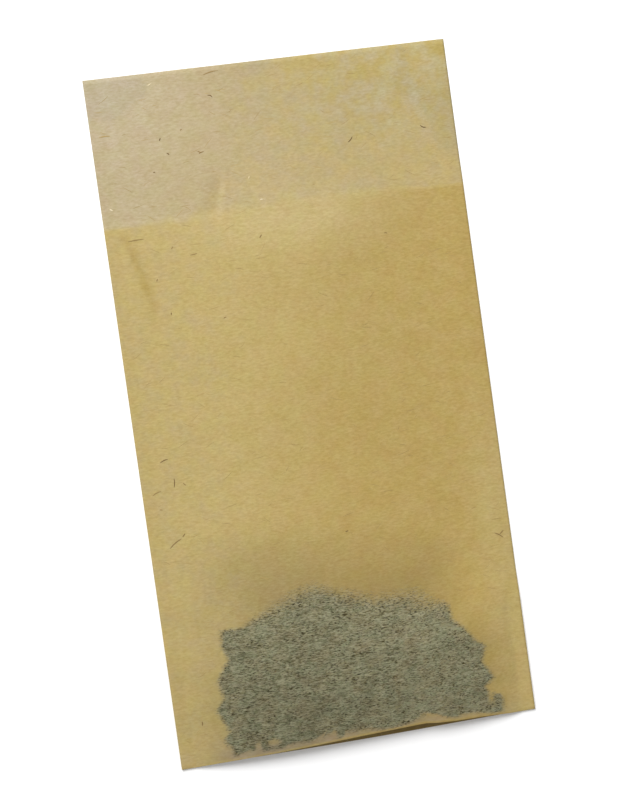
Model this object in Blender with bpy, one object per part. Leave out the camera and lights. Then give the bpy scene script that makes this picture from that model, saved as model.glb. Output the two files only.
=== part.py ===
"""A paper tea bag for loose tea: one folded sheet of filter paper, sealed along both sides, with tea in it.

The bag lies flat on its short panel. The sheet runs down the long panel from the top of the flap, folds in
at the foot, goes up and down the two leaves of the gusset, folds again and runs up the short panel to the
mouth. X is the width, +Y points from the foot to the flap, +Z is up and the floor is z = 0.
"""

import math

import bmesh
import bpy

# Driving dimensions, in metres
BAG_WIDTH = 0.080
BAG_LENGTH = 0.151  # from the foot to the end of the flap
FLAP_LENGTH = 0.0323  # the part of the long panel beyond the mouth
GUSSET_DEPTH = 0.025
SEAM_WIDTH = 0.003
PAPER = 0.0001  # thickness of the filter paper
LAYER_GAP = 0.0001  # air between two sheets that lie on each other
FOLD_WALL = 0.0002  # paper gathered in a crease

# Heights of the long panel above its seams, on the middle of the bag
FOOT_LIFT = 0.0026
TEA_RISE = 0.0048
BODY_LOFT = 0.0010
MOUTH_GAP = 0.0022

# How far the bulge draws the foot of the long panel in, and where across the bag
FOOT_DRAW = 0.00125
DRAW_FROM = -0.029
DRAW_PEAK = 0.015
DRAW_TO = 0.033

# The heap of tea, seen from above
TEA_WIDTH = 0.0625
TEA_LENGTH = 0.034
TEA_ABOVE_FOOT = 0.0018
TEA_OFFSET = 0.0012  # of its middle, across the bag
TEA_SPLIT = 0.36  # share of its length below its widest place
TEA_CROWN = 0.45  # share of its length below its highest place
TEA_UNEVEN = 0.022  # share by which its rim wanders in and out
TEA_CLEARANCE = 0.0003  # between tea and paper
TEA_RIM = 0.0002  # least thickness left at the rim

# Powers of the curves: 2 is an ellipse, and the higher it is, the squarer the curve
BULGE_POWER = 3.4
TEA_FOOT_POWER = 3.6
TEA_HEAD_POWER = 2.3
TEA_EDGE_POWER = 5

# How finely the sheets are divided
CELLS_ACROSS = 24
CELLS_GUSSET = 8
CELLS_BODY = 20
CELLS_FLAP = 8
TEA_SEGMENTS = 64
TEA_RINGS = 20

# Worked out from the above
HALF_WIDTH = BAG_WIDTH / 2
CHAMBER_HALF = HALF_WIDTH - SEAM_WIDTH
FOOT_Y = -BAG_LENGTH / 2
TOP_Y = BAG_LENGTH / 2
MOUTH_Y = TOP_Y - FLAP_LENGTH
APEX_Y = FOOT_Y + GUSSET_DEPTH
TWO_SHEETS = 2 * PAPER + LAYER_GAP
FOUR_SHEETS = 4 * PAPER + 3 * LAYER_GAP
TEA_END_Y = FOOT_Y + TEA_ABOVE_FOOT + TEA_LENGTH
TEA_CROWN_Y = FOOT_Y + TEA_ABOVE_FOOT + TEA_CROWN * TEA_LENGTH
RUN_OUT = 0.35 * TEA_LENGTH  # the long panel comes down over this length beyond the tea
SETTLE = 0.2 * FLAP_LENGTH  # the flap's edges reach the floor over this length
MOUTH_BEVEL = 0.0005
SPARE = 0.001  # a cutter reaches this far past what it cuts

PAPER_COLOUR = (0.49, 0.37, 0.16, 1.0)
TEA_COLOUR = (0.035, 0.035, 0.02, 1.0)


def clamp(value):
    """The value held between 0 and 1."""
    return min(1.0, max(0.0, value))


def ease(start, end, y):
    """0 at start and 1 at end, with a level run at both."""
    share = clamp((y - start) / (end - start))
    return share * share * (3 - 2 * share)


def stretch(start, end, cells):
    """Evenly spaced places from start to end, both included."""
    return [start + (end - start) * i / cells for i in range(cells + 1)]


def sheets_at_seam(y):
    """Thickness of the sealed edge: four sheets along the gusset, two above it and one along the flap."""
    gusset = FOUR_SHEETS - TWO_SHEETS
    past_gusset = ease(APEX_Y + FOLD_WALL, APEX_Y + RUN_OUT, y)
    past_mouth = ease(MOUTH_Y, MOUTH_Y + SETTLE, y)
    return TWO_SHEETS + gusset * (1 - past_gusset) - (TWO_SHEETS - PAPER) * past_mouth


def full_across(x):
    """Outline across the bag where tea fills it: flat in the middle and steep at the seams."""
    return 1 - clamp(abs(x) / CHAMBER_HALF) ** BULGE_POWER


def lens_across(x):
    """Outline across the empty bag: a low lens that runs out into the seams."""
    return 0.5 + 0.5 * math.cos(math.pi * clamp(abs(x) / CHAMBER_HALF))


def tea_lift(y):
    """Height that the tea gives the long panel, on the middle of the bag."""
    if y < TEA_CROWN_Y:
        rise = math.sin(math.pi / 2 * clamp((y - FOOT_Y) / (TEA_CROWN_Y - FOOT_Y)))
        return FOOT_LIFT + (TEA_RISE - FOOT_LIFT) * rise
    return TEA_RISE * (1 - ease(TEA_CROWN_Y, TEA_END_Y + RUN_OUT, y))


def air_lift(y):
    """Height at which the panels stand apart by themselves, most at the mouth."""
    body = BODY_LOFT * ease(TEA_CROWN_Y, TEA_END_Y + RUN_OUT, y)
    mouth = (MOUTH_GAP - BODY_LOFT) * ease(TEA_END_Y + RUN_OUT, MOUTH_Y, y)
    return (body + mouth) * (1 - ease(MOUTH_Y, TOP_Y, y))


def panel_top(x, y):
    """Outer face of the long panel."""
    return sheets_at_seam(y) + tea_lift(y) * full_across(x) + air_lift(y) * lens_across(x)


def leaf_under(x, y):
    """Lower face of the gusset's upper leaf, which hangs from the foot of the long panel."""
    share = clamp((APEX_Y - y) / GUSSET_DEPTH)
    return TWO_SHEETS + LAYER_GAP + FOOT_LIFT * full_across(x) * share**2


def foot_draw(x):
    """How far the foot of the long panel is drawn in at x."""
    rising = clamp((x - DRAW_FROM) / (DRAW_PEAK - DRAW_FROM))
    falling = clamp((DRAW_TO - x) / (DRAW_TO - DRAW_PEAK))
    return FOOT_DRAW * min(rising, falling)


def drawn(x, y):
    """Place along the bag of a point of the long panel or the upper leaf, with the foot drawn in."""
    return y + foot_draw(x) * (1 - ease(FOOT_Y, APEX_Y, y))


def chamber_floor(x, y):
    """What the tea lies on: the upper leaf as far as the gusset goes, and then the short panel."""
    leaf = leaf_under(x, y) + PAPER
    return leaf + (PAPER - leaf) * clamp((y - APEX_Y - FOLD_WALL) / FOLD_WALL)


def new_object(name, mesh, collection):
    """Links a new object for the mesh."""
    thing = bpy.data.objects.new(name, mesh)
    collection.objects.link(thing)
    return thing


def slab(name, x_lines, y_lines, upper, lower, collection, inside=None):
    """A closed solid between two faces on one grid. upper and lower each turn a place on it into a point."""
    bm = bmesh.new()
    across, along = len(x_lines) - 1, len(y_lines) - 1
    bmesh.ops.create_grid(bm, x_segments=across, y_segments=along, size=0.5)

    def place(vert):
        return x_lines[round((vert.co.x + 0.5) * across)], y_lines[round((vert.co.y + 0.5) * along)]

    if inside:
        outer = [f for f in bm.faces if not all(inside(*place(v)) for v in f.verts)]
        bmesh.ops.delete(bm, geom=outer, context="FACES")
    grown = bmesh.ops.extrude_face_region(bm, geom=bm.faces[:])
    lifted = {item for item in grown["geom"] if isinstance(item, bmesh.types.BMVert)}
    points = {v: (upper if v in lifted else lower)(*place(v)) for v in bm.verts}
    for vert, point in points.items():
        vert.co = point
    bmesh.ops.triangulate(bm, faces=bm.faces[:], quad_method="FIXED")
    bmesh.ops.recalc_face_normals(bm, faces=bm.faces[:])
    mesh = bpy.data.meshes.new(name)
    bm.to_mesh(mesh)
    bm.free()
    return new_object(name, mesh, collection)


def chamber_lines():
    """Grid lines across the bag between its seams."""
    return stretch(-CHAMBER_HALF, CHAMBER_HALF, CELLS_ACROSS)


def gusset_lines():
    """Grid lines along the bag from the crease at the foot to the gusset's apex."""
    return stretch(FOOT_Y + FOLD_WALL, APEX_Y, CELLS_GUSSET)


def body_lines():
    """Grid lines along the bag from the gusset's apex to the mouth."""
    return [APEX_Y + FOLD_WALL, *stretch(APEX_Y + 2 * FOLD_WALL, MOUTH_Y, CELLS_BODY)]


def flap_lines():
    """Grid lines along the flap, the first two of which cut the short panel off at the mouth."""
    return [MOUTH_Y + MOUTH_BEVEL, *stretch(MOUTH_Y + 2 * MOUTH_BEVEL, TOP_Y, CELLS_FLAP)]


def bag_envelope(collection):
    """The bag as if it were solid, from the floor to the outer face of the long panel."""

    def lower(x, y):
        return x, y, 0.0 if y <= MOUTH_Y + MOUTH_BEVEL else -SPARE / 2

    return slab(
        "filter_bag",
        [-HALF_WIDTH, *chamber_lines(), HALF_WIDTH],
        [FOOT_Y, *gusset_lines(), *body_lines(), *flap_lines()],
        lambda x, y: (x, drawn(x, y), panel_top(x, y)),
        lower,
        collection,
    )


def chamber_cutter(collection):
    """The space for the tea, open at the mouth, and all that lies under the flap."""

    def lower(x, y):
        beyond = y > MOUTH_Y or abs(x) > CHAMBER_HALF
        return x, drawn(x, y), -SPARE if beyond else chamber_floor(x, y)

    return slab(
        "chamber_cutter",
        [-HALF_WIDTH - SPARE, *chamber_lines(), HALF_WIDTH + SPARE],
        [*gusset_lines(), *body_lines(), *flap_lines(), TOP_Y + SPARE],
        lambda x, y: (x, drawn(x, y), panel_top(x, min(y, TOP_Y)) - PAPER),
        lower,
        collection,
        inside=lambda x, y: abs(x) <= CHAMBER_HALF or y >= MOUTH_Y,
    )


def back_pocket_cutter(collection):
    """The gap between the short panel and the gusset's lower leaf."""
    return slab(
        "back_pocket_cutter",
        [-CHAMBER_HALF, CHAMBER_HALF],
        [FOOT_Y + FOLD_WALL, APEX_Y + 3 * FOLD_WALL],
        lambda x, y: (x, y, PAPER + LAYER_GAP),
        lambda x, y: (x, y, PAPER),
        collection,
    )


def gusset_cutter(collection):
    """The slot between the gusset's leaves, open at the foot."""
    return slab(
        "gusset_cutter",
        chamber_lines(),
        [FOOT_Y - SPARE, FOOT_Y, *gusset_lines()],
        lambda x, y: (x, drawn(x, y), leaf_under(x, y)),
        lambda x, y: (x, drawn(x, y), TWO_SHEETS),
        collection,
    )


def cut(thing, cutters):
    """Takes each cutter away from the thing."""
    for cutter in cutters:
        cutter.hide_render = True
        cutter.display_type = "WIRE"
        modifier = thing.modifiers.new(cutter.name, "BOOLEAN")
        modifier.operation = "DIFFERENCE"
        modifier.solver = "EXACT"
        modifier.object = cutter


def tea_reach(angle):
    """Distance from the middle of the heap to its rim: square towards the foot, round above, and uneven."""
    across, along = math.cos(angle), math.sin(angle)
    half_width = TEA_WIDTH / 2
    if along < 0:
        half_length, power = TEA_SPLIT * TEA_LENGTH, TEA_FOOT_POWER
    else:
        half_length, power = (1 - TEA_SPLIT) * TEA_LENGTH, TEA_HEAD_POWER
    rim = ((abs(across) / half_width) ** power + (abs(along) / half_length) ** power) ** (-1 / power)
    waves = 0.45 * math.sin(11 * angle + 0.6) + 0.35 * math.sin(17 * angle + 2.1) + 0.2 * math.sin(29 * angle)
    return rim * (1 + TEA_UNEVEN * (waves - 1))


def tea_heap(collection):
    """The tea: a flattened ball that fills the chamber from its floor to the long panel."""
    middle_y = FOOT_Y + TEA_ABOVE_FOOT + TEA_SPLIT * TEA_LENGTH
    bm = bmesh.new()
    bmesh.ops.create_uvsphere(bm, u_segments=TEA_SEGMENTS, v_segments=TEA_RINGS, radius=1.0)
    for vert in bm.verts:
        share = min(1.0, math.hypot(vert.co.x, vert.co.y))
        angle = math.atan2(vert.co.y, vert.co.x)
        x = TEA_OFFSET + share * tea_reach(angle) * math.cos(angle)
        y = middle_y + share * tea_reach(angle) * math.sin(angle)
        floor = chamber_floor(x, y) + TEA_CLEARANCE
        roof = panel_top(x, y) - PAPER - TEA_CLEARANCE
        middle, half = (floor + roof) / 2, max((roof - floor) / 2, TEA_RIM / 2)
        thick = math.sqrt(1 - share**TEA_EDGE_POWER)
        side = 0.0 if abs(vert.co.z) < 1e-6 else math.copysign(1.0, vert.co.z)
        vert.co = (x, drawn(x, y), middle + side * half * thick)
    mesh = bpy.data.meshes.new("tea_leaves")
    bm.to_mesh(mesh)
    bm.free()
    mesh.shade_smooth()
    return new_object("tea_leaves", mesh, collection)


def material(name, colour, roughness):
    """A plain dull finish."""
    finish = bpy.data.materials.new(name)
    finish.use_nodes = True
    shader = finish.node_tree.nodes["Principled BSDF"]
    shader.inputs["Base Color"].default_value = colour
    shader.inputs["Roughness"].default_value = roughness
    return finish


def new_collection(name):
    """Links a new collection to the scene."""
    collection = bpy.data.collections.new(name)
    bpy.context.scene.collection.children.link(collection)
    return collection


def main():
    """Builds the bag and its tea."""
    for thing in list(bpy.data.objects):
        bpy.data.objects.remove(thing, do_unlink=True)
    parts, cutters = new_collection("tea_bag"), new_collection("cutters")
    bag = bag_envelope(parts)
    cut(bag, [chamber_cutter(cutters), back_pocket_cutter(cutters), gusset_cutter(cutters)])
    bag.data.materials.append(material("unbleached_filter_paper", PAPER_COLOUR, 0.9))
    tea = tea_heap(parts)
    tea.data.materials.append(material("dry_tea", TEA_COLOUR, 0.8))


main()
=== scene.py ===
# %% [markdown]
# # A paper tea bag for loose tea
# The object is a long flat bag of thin unbleached filter paper, lying on its back with a spoonful of
# fine tea in its foot. The paper is one sheet: the long panel comes down from the flap, folds in at
# the foot, makes a gusset, and runs up behind as the short panel. Both sides are sealed.
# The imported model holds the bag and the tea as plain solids. Here they get their looks.

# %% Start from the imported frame
import math

import bpy
import numpy as np
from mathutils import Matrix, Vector, noise


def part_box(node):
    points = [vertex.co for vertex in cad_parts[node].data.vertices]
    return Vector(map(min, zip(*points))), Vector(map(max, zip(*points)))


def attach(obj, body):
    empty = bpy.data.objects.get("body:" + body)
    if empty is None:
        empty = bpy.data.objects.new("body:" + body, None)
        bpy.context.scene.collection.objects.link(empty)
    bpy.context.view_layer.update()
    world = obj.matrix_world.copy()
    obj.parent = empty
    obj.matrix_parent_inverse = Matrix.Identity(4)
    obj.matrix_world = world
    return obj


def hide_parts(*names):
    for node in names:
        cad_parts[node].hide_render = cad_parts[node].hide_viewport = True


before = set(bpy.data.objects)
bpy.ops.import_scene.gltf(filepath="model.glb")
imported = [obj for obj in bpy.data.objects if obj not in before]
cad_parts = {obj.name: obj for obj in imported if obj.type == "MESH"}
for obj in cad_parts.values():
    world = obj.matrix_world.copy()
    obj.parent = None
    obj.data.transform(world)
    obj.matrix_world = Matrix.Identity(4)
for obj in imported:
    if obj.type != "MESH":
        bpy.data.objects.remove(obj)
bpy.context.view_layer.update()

print("CAD nodes:", sorted(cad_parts))

# %% [markdown]
# ## Sizes
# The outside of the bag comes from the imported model. The places of the folds are repeated here in
# millimetres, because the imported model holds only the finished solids.

# %% Sizes and places along the bag
MM = 0.001
bag_low, bag_high = (np.array(corner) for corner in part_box("filter_bag"))
HALF_WIDTH = float(bag_high[0])
FOOT_Y, TOP_Y = float(bag_low[1]), float(bag_high[1])
FLAP, GUSSET, SEAM = 32.3 * MM, 25 * MM, 3 * MM
PAPER = 0.1 * MM
LAYER = 0.15 * MM  # from the middle of one sheet to the next, where they lie on each other
MOUTH_Y = TOP_Y - FLAP
APEX_Y = FOOT_Y + GUSSET
CHAMBER_HALF = HALF_WIDTH - SEAM

# %% [markdown]
# ## The shape of the paper
# Thin paper over a soft heap makes one calm swell that dies out into the flat seams. Towards the mouth
# the panels part a little by themselves, and the flap sinks back to the table. A cloth simulation could
# find such a shape, but it keeps layers further apart than these lie. So a few simple curves are added
# up to a height for each place on the bag.

# %% Curves that the shape is made of
FULLNESS = 3.4  # how steeply the swell over the tea falls off at the seams


def ease(start, end, value):
    """0 at start and 1 at end, with a level run at both."""
    share = np.clip((value - start) / (end - start), 0, 1)
    return share * share * (3 - 2 * share)


def full_across(x):
    """Across the bag where tea fills it: flat in the middle and steep at the seams."""
    return 1 - np.clip(np.abs(x) / CHAMBER_HALF, 0, 1) ** FULLNESS


def lens_across(x):
    """Across the empty bag: a low lens that runs out into the seams."""
    return 0.5 + 0.5 * np.cos(math.pi * np.clip(np.abs(x) / CHAMBER_HALF, 0, 1))


half_out = CHAMBER_HALF / 2
print(f"halfway to the seam: full {full_across(half_out):.2f}, lens {lens_across(half_out):.2f}")

# %% Height of the long panel
FOOT_LIFT, TEA_RISE, BODY_LOFT, MOUTH_GAP = 2.6 * MM, 4.8 * MM, 1.0 * MM, 2.2 * MM
CROWN_Y, RUN_OUT = -58.5 * MM, 14 * MM  # the highest line of the swell, and its run past the tea
PARTING_Y = -20 * MM  # from here the panels part towards the mouth
STEP_DOWN, SETTLE = 8 * MM, 6.5 * MM  # the run down past the gusset, and past the mouth


def tea_end(x):
    """Where the tea ends towards the mouth, rounded off."""
    return (-44.5 - 3.2 * (x / (22 * MM) + 0.25) ** 2) * MM


def sheets_under(y):
    """Height of the long panel's middle at the seams, from the number of sheets beneath it."""
    past_gusset = ease(APEX_Y, APEX_Y + STEP_DOWN, y)
    past_mouth = ease(MOUTH_Y - 0.5 * MM, MOUTH_Y + SETTLE, y)
    return PAPER / 2 + LAYER * (3 - 2 * past_gusset - past_mouth)


def panel_z(x, y):
    """Middle of the long panel."""
    rise = np.sin(math.pi / 2 * np.clip((y - FOOT_Y) / (CROWN_Y - FOOT_Y), 0, 1))
    below_crown = FOOT_LIFT + (TEA_RISE - FOOT_LIFT) * rise
    above_crown = TEA_RISE * (1 - ease(CROWN_Y, tea_end(x) + RUN_OUT, y))
    tea = np.where(y < CROWN_Y, below_crown, above_crown) * full_across(x)
    body = BODY_LOFT * ease(CROWN_Y, tea_end(x) + RUN_OUT, y)
    mouth = (MOUTH_GAP - BODY_LOFT) * ease(PARTING_Y, MOUTH_Y, y)
    air = (body + mouth) * (1 - ease(MOUTH_Y, TOP_Y, y)) * lens_across(x)
    return sheets_under(y) + tea + air


crown = panel_z(np.zeros(1), np.array([CROWN_Y]))[0]
print(f"height over the tea {crown / MM:.2f} mm")


# %% Height of the gusset's upper leaf
def leaf_z(x, y):
    """Middle of the upper leaf, which hangs from the foot of the long panel."""
    hung = panel_z(x, np.full_like(x, FOOT_Y)) - LAYER
    flat = PAPER / 2 + 2 * LAYER
    share = np.clip((APEX_Y - y) / GUSSET, 0, 1)
    return flat + (hung - flat) * share**2


leaf_foot = leaf_z(np.zeros(1), np.array([FOOT_Y]))[0]
print(f"height of the leaf's foot {leaf_foot / MM:.2f} mm")

# %% [markdown]
# ## The foot
# The swell needs paper, and takes it from the foot: the upper fold is drawn in, and the lower folds of
# the gusset show past it as a thin crescent, widest right of the middle. The amount is given at a few
# places across the bag and runs out over the depth of the gusset.

# %% How far the foot is drawn in
FOOT_SHOWN = [  # place across the bag and how much of the gusset shows there, in mm
    (-27, 0), (-20, 0.06), (-13.5, 0.15), (-8, 0.3), (-3, 0.45), (4, 0.68), (8, 0.8), (14.5, 0.95),
    (17.5, 0.55), (22, 0.32), (28, 0.25), (34, 0),
]
LEAN = 0.68 * MM  # the raised fold looks this far nearer to the foot than it is


def foot_draw(x):
    """How far the swell draws the foot of the long panel in: what shows of the gusset, and the lean."""
    places, widths = (np.array(numbers) * MM for numbers in zip(*FOOT_SHOWN))
    return LEAN * full_across(x) + np.interp(x, places, widths)


def drawn(x, y):
    """Place along the bag after the foot is drawn in."""
    return y + foot_draw(x) * (1 - ease(FOOT_Y, APEX_Y, y))


def undrawn(x, y):
    """Place along the bag before the foot was drawn in, from the place after."""
    before = y
    for _ in range(3):
        before = y - foot_draw(x) * (1 - ease(FOOT_Y, APEX_Y, before))
    return before


widest = max(shown for place, shown in FOOT_SHOWN)
print(f"the crescent is {widest:.2f} mm wide at most")

# %% [markdown]
# ## The outline of the tea
# Seen through the paper, the tea is a patch with a ragged edge: five or six teeth on each side, a low
# crown left of the middle, and small bays along the foot where the paper shows. A noise could make some
# ragged edge, but this one is known, so its points are given, in millimetres from the middle of the
# bag, as if the tea lay on the table. It lies higher, so each point moves a little towards the
# camera, which looks from a third of a metre away. In a bay the paper stands off the tea. One lies
# beside the last tooth on the right, and two faint ones along the upper right edge.

# %% Points of the tea's outline
TEA_SEEN = [
    (-29.7, -70.6), (-28.2, -69.3), (-29.2, -66.9), (-30.5, -64.1), (-28.4, -61.8),
    (-29.3, -57.8), (-26.4, -53.6), (-27.3, -51.0), (-27.2, -47.0), (-22.5, -47.0), (-18.6, -44.9),
    (-14.0, -42.4), (-8.7, -40.4), (-5.8, -39.8), (-1.0, -41.8), (4.1, -43.3), (8.1, -44.4),
    (11.9, -44.0), (17.5, -44.2), (20.1, -47.0), (23.6, -48.9), (23.9, -52.7), (26.5, -55.3),
    (28.5, -58.2), (30.6, -59.7), (29.2, -63.0), (31.5, -67.0), (29.2, -68.9), (30.3, -70.0),
    (32.7, -71.0), (33.0, -72.5), (32.7, -74.9), (29.6, -74.8), (26.9, -74.1), (23.2, -73.8),
    (22.3, -74.4), (19.9, -74.0), (17.4, -72.8), (15.3, -72.2), (13.0, -73.2), (10.7, -73.9),
    (8.5, -74.2), (4.8, -74.0), (2.3, -73.5), (-3.1, -73.1), (-3.8, -74.5), (-4.9, -74.3), (-5.2, -72.6),
    (-7.2, -72.5), (-8.0, -73.5), (-10.6, -74.1), (-13.3, -73.9), (-15.5, -73.8), (-16.9, -74.6),
    (-20.4, -74.6), (-23.9, -74.3), (-25.2, -74.1), (-28.1, -74.7), (-28.3, -72.7), (-29.2, -71.8),
]
BAYS = [  # middle, half width and half height in mm, and how far the paper stands off, from 0 to 1
    (-22.7, -73.9, 0.8, 1.6, 1.0), (-19.2, -73.2, 1.6, 1.0, 1.0), (-25.0, -74.7, 1.1, 0.8, 1.0),
    (14.0, -74.3, 1.2, 0.6, 1.0), (30.5, -70.9, 1.0, 2.4, 0.75), (18.5, -48.0, 7.0, 3.0, 0.35),
    (14.0, -44.6, 6.0, 2.0, 0.3),
]
print("tea outline:", len(TEA_SEEN), "points and", len(BAYS), "bays")

# %% Distances from the middle of the tea
TEA_MIDDLE = np.array([1.5, -60.0]) * MM
CAMERA_PLACE = np.array([-43.4, 12.1, 340.3]) * MM


def from_seen(x, y):
    """Where a place on the paper is, from where it is seen as if it lay on the table."""
    share = panel_z(x, undrawn(x, y)) / CAMERA_PLACE[2]
    return x + (CAMERA_PLACE[0] - x) * share, y + (CAMERA_PLACE[1] - y) * share


def from_tea_middle(x, y):
    """Distance and direction of a place from the middle of the tea."""
    aside, along = x - TEA_MIDDLE[0], y - TEA_MIDDLE[1]
    return np.hypot(aside, along), np.arctan2(along, aside)


edge_x, edge_y = from_seen(*(np.array(TEA_SEEN) * MM).T)
edge_reach, edge_angle = from_tea_middle(edge_x, edge_y)


def tea_reach(angle):
    """Distance from the middle of the tea to its outline."""
    return np.interp(angle, edge_angle, edge_reach, period=2 * math.pi)


def tea_share(x, y):
    """How far out a place is: 0 in the middle of the tea and 1 on its outline."""
    away, angle = from_tea_middle(x, y)
    return away / tea_reach(angle)


print(f"the outline is {edge_reach.min() / MM:.1f} to {edge_reach.max() / MM:.1f} mm from its middle")

# %% [markdown]
# ## Unevenness of real paper
# No sheet of filter paper lies dead flat. It cockles in soft waves a centimetre long, follows the lumps
# of the tea at a smaller scale, and keeps a few creases from being handled. A Displace modifier could
# make the waves, but the creases have their places, and the tea and the shives need the same heights.
# So a function gives them. The creases lie where they show on the real bag: a short dent above the
# mouth, a long slanting one near the left side in three lengths, and faint ones further down and
# beside the tea.

# %% Ripples and creases
def ripple(x, y, size, seed):
    """Smooth unevenness between about -0.5 and 0.5 for an array of places."""
    places = zip((x / size).ravel().tolist(), (y / size).ravel().tolist())
    return np.array([noise.noise((a, b, seed)) for a, b in places]).reshape(x.shape)


def crease_profile(x, y, start, end, right, left):
    """1 along a crease and 0 away from it, with a width in mm on each side."""
    (ax, ay), (bx, by) = np.array(start) * MM, np.array(end) * MM
    length = math.hypot(bx - ax, by - ay)
    along = ((x - ax) * (bx - ax) + (y - ay) * (by - ay)) / length**2
    side = ((x - ax) * (by - ay) - (y - ay) * (bx - ax)) / length * (1 if by > ay else -1)
    width = np.where(side > 0, right, left) * MM
    return np.exp(-((side / width) ** 2)) * ease(-0.35, 0.15, along) * (1 - ease(0.85, 1.35, along))


print(f"a ripple a quarter of its size along: {ripple(np.array([0.25]), np.zeros(1), 1, 3.1)[0]:.2f}")

# %% Cockles, lumps and creases
COCKLES = [(0.24, 17 * MM, 3.1), (0.07, 7 * MM, 8.4)]  # height in mm, size and seed
LUMPS = [(0.20, 4.2 * MM, 5.7), (0.12, 2.1 * MM, 1.9)]
LUMPS_FADE = (0.8, 1.25)  # where the lumps die out, as a share of the way to the tea's outline
HELD_AT_FOOT = 6 * MM  # the fold keeps the paper smooth this far up
CREASES = [  # start and end in mm, rise in mm, width on its right and on its left in mm
    ((-14.2, 49.6), (-15.8, 43.6), -0.25, 0.8, 2.4),
    ((-36.4, 41.6), (-34.6, 36.6), 0.17, 0.9, 2.6),
    ((-34.6, 36.6), (-33.0, 30.0), 0.17, 0.9, 2.6),
    ((-33.0, 30.0), (-31.6, 25.0), 0.12, 1.0, 2.6),
    ((-30.0, 20.0), (-27.5, 6.0), -0.07, 1.2, 3.0),
    ((24.0, 57.0), (30.0, 46.0), -0.10, 1.6, 3.0),
    ((-33.0, -49.0), (-24.0, -38.0), -0.12, 1.4, 2.0),
    ((34.5, -57.0), (25.0, -41.0), -0.12, 1.4, 2.0),
    ((34.0, -30.0), (36.5, -40.0), -0.07, 0.9, 1.4),
]


def uneven(x, y):
    """What cockles, lumps and creases add to the long panel, nothing at the seams and at the foot."""
    free = 1 - ease(0.90 * HALF_WIDTH, 0.99 * HALF_WIDTH, np.abs(x))
    free = free * ease(FOOT_Y, FOOT_Y + HELD_AT_FOOT, y)
    over_tea = 1 - ease(*LUMPS_FADE, tea_share(x, drawn(x, y)))
    cockles = sum(height * ripple(x, y, size, seed) for height, size, seed in COCKLES)
    lumps = sum(height * ripple(x, y, size, seed) for height, size, seed in LUMPS)
    total = (cockles + lumps * over_tea) * MM
    for start, end, rise_mm, right, left in CREASES:
        total = total + rise_mm * MM * crease_profile(x, y, start, end, right, left)
    return total * free


def top_z(x, y):
    """The long panel with everything on it, never lower than the sheets beneath."""
    return np.maximum(panel_z(x, y) + uneven(x, y), sheets_under(y))


print("creases:", len(CREASES))

# %% [markdown]
# ## Small helpers
# Every new piece starts as a primitive, with everything else deselected first, because an operator
# acts on all that is selected. A finished piece sits at the origin with its place in its mesh, so its
# vertices are read and written all at once, as arrays.

# %% Helpers for pieces
def newly_added(name):
    """Names the object that an operator has just made."""
    piece = bpy.context.object
    piece.name = piece.data.name = name
    return piece


def clear_selection():
    """Deselects everything, so that the next operator acts on its own piece only."""
    bpy.ops.object.select_all(action="DESELECT")


def place_vertices(piece, points):
    """Moves the vertices to an array of points."""
    piece.data.vertices.foreach_set("co", np.asarray(points, dtype=np.float32).ravel())
    piece.data.update()


def read_vertices(piece):
    """The vertices as an array of points."""
    points = np.empty(len(piece.data.vertices) * 3, dtype=np.float32)
    piece.data.vertices.foreach_get("co", points)
    return points.reshape(-1, 3).astype(float)


# %% [markdown]
# ## The folded sheet
# The real bag starts as a blank, so this one does too: a flat grid, one row after another from the
# flap to the mouth behind. Each row is then laid where the folding puts it. Panels could be made one by
# one and joined, but one sheet has no joints to open, and its folds stay whole. Rows are close together
# on the long panel, which the eye sees, wider on the hidden ones, and five of them round each fold.

# %% Rows of the blank
CELLS_ACROSS = 160
BEND = 0.12 * MM
BEND_ROWS = 5
HEAD_Y = -36 * MM  # the tea lies below this


def panel_rows(panel, start, end, step_mm):
    """Rows of one flat stretch of the blank, about one step apart, without the row at its end."""
    count = max(1, round(abs(end - start) / (step_mm * MM)))
    return [(panel, y) for y in np.linspace(start, end, count, endpoint=False)]


def bend_rows(panel):
    """Rows round one fold, as angles."""
    return [(panel, math.pi * (i + 1) / (BEND_ROWS + 1)) for i in range(BEND_ROWS)]


rows = [
    *panel_rows("long panel", TOP_Y, MOUTH_Y + 4 * MM, 1.0),
    *panel_rows("long panel", MOUTH_Y + 4 * MM, MOUTH_Y - 2 * MM, 0.5),
    *panel_rows("long panel", MOUTH_Y - 2 * MM, HEAD_Y, 1.0),
    *panel_rows("long panel", HEAD_Y, FOOT_Y + BEND, 0.5),
    *bend_rows("foot fold"),
    *panel_rows("upper leaf", FOOT_Y + BEND, APEX_Y - BEND, 1.8),
    *bend_rows("inner fold"),
    *panel_rows("lower leaf", APEX_Y - BEND, FOOT_Y + BEND, 3.0),
    *bend_rows("back fold"),
    *panel_rows("short panel", FOOT_Y + BEND, MOUTH_Y, 3.5),
    ("short panel", MOUTH_Y),
]
print("blank:", CELLS_ACROSS, "by", len(rows) - 1, "cells")

# %% Where a row lies
LOWER_LEAF_Z, SHORT_PANEL_Z = PAPER / 2 + LAYER, PAPER / 2
FOOT_BOW = 0.2 * MM  # how far the lower folds bow out past the corners of the foot


def around(angle, fold_y, outwards, upper, lower):
    """A point round a fold: outwards is -1 where the fold points to the foot and 1 where it points in."""
    middle, half = (upper + lower) / 2, (upper - lower) / 2
    return fold_y + outwards * BEND * math.sin(angle), middle + half * math.cos(angle)


def foot_bow(x, y):
    """The bow of the lower folds, which runs out over the depth of the gusset."""
    return FOOT_BOW * lens_across(x) * (1 - ease(FOOT_Y, APEX_Y, y))


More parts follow.
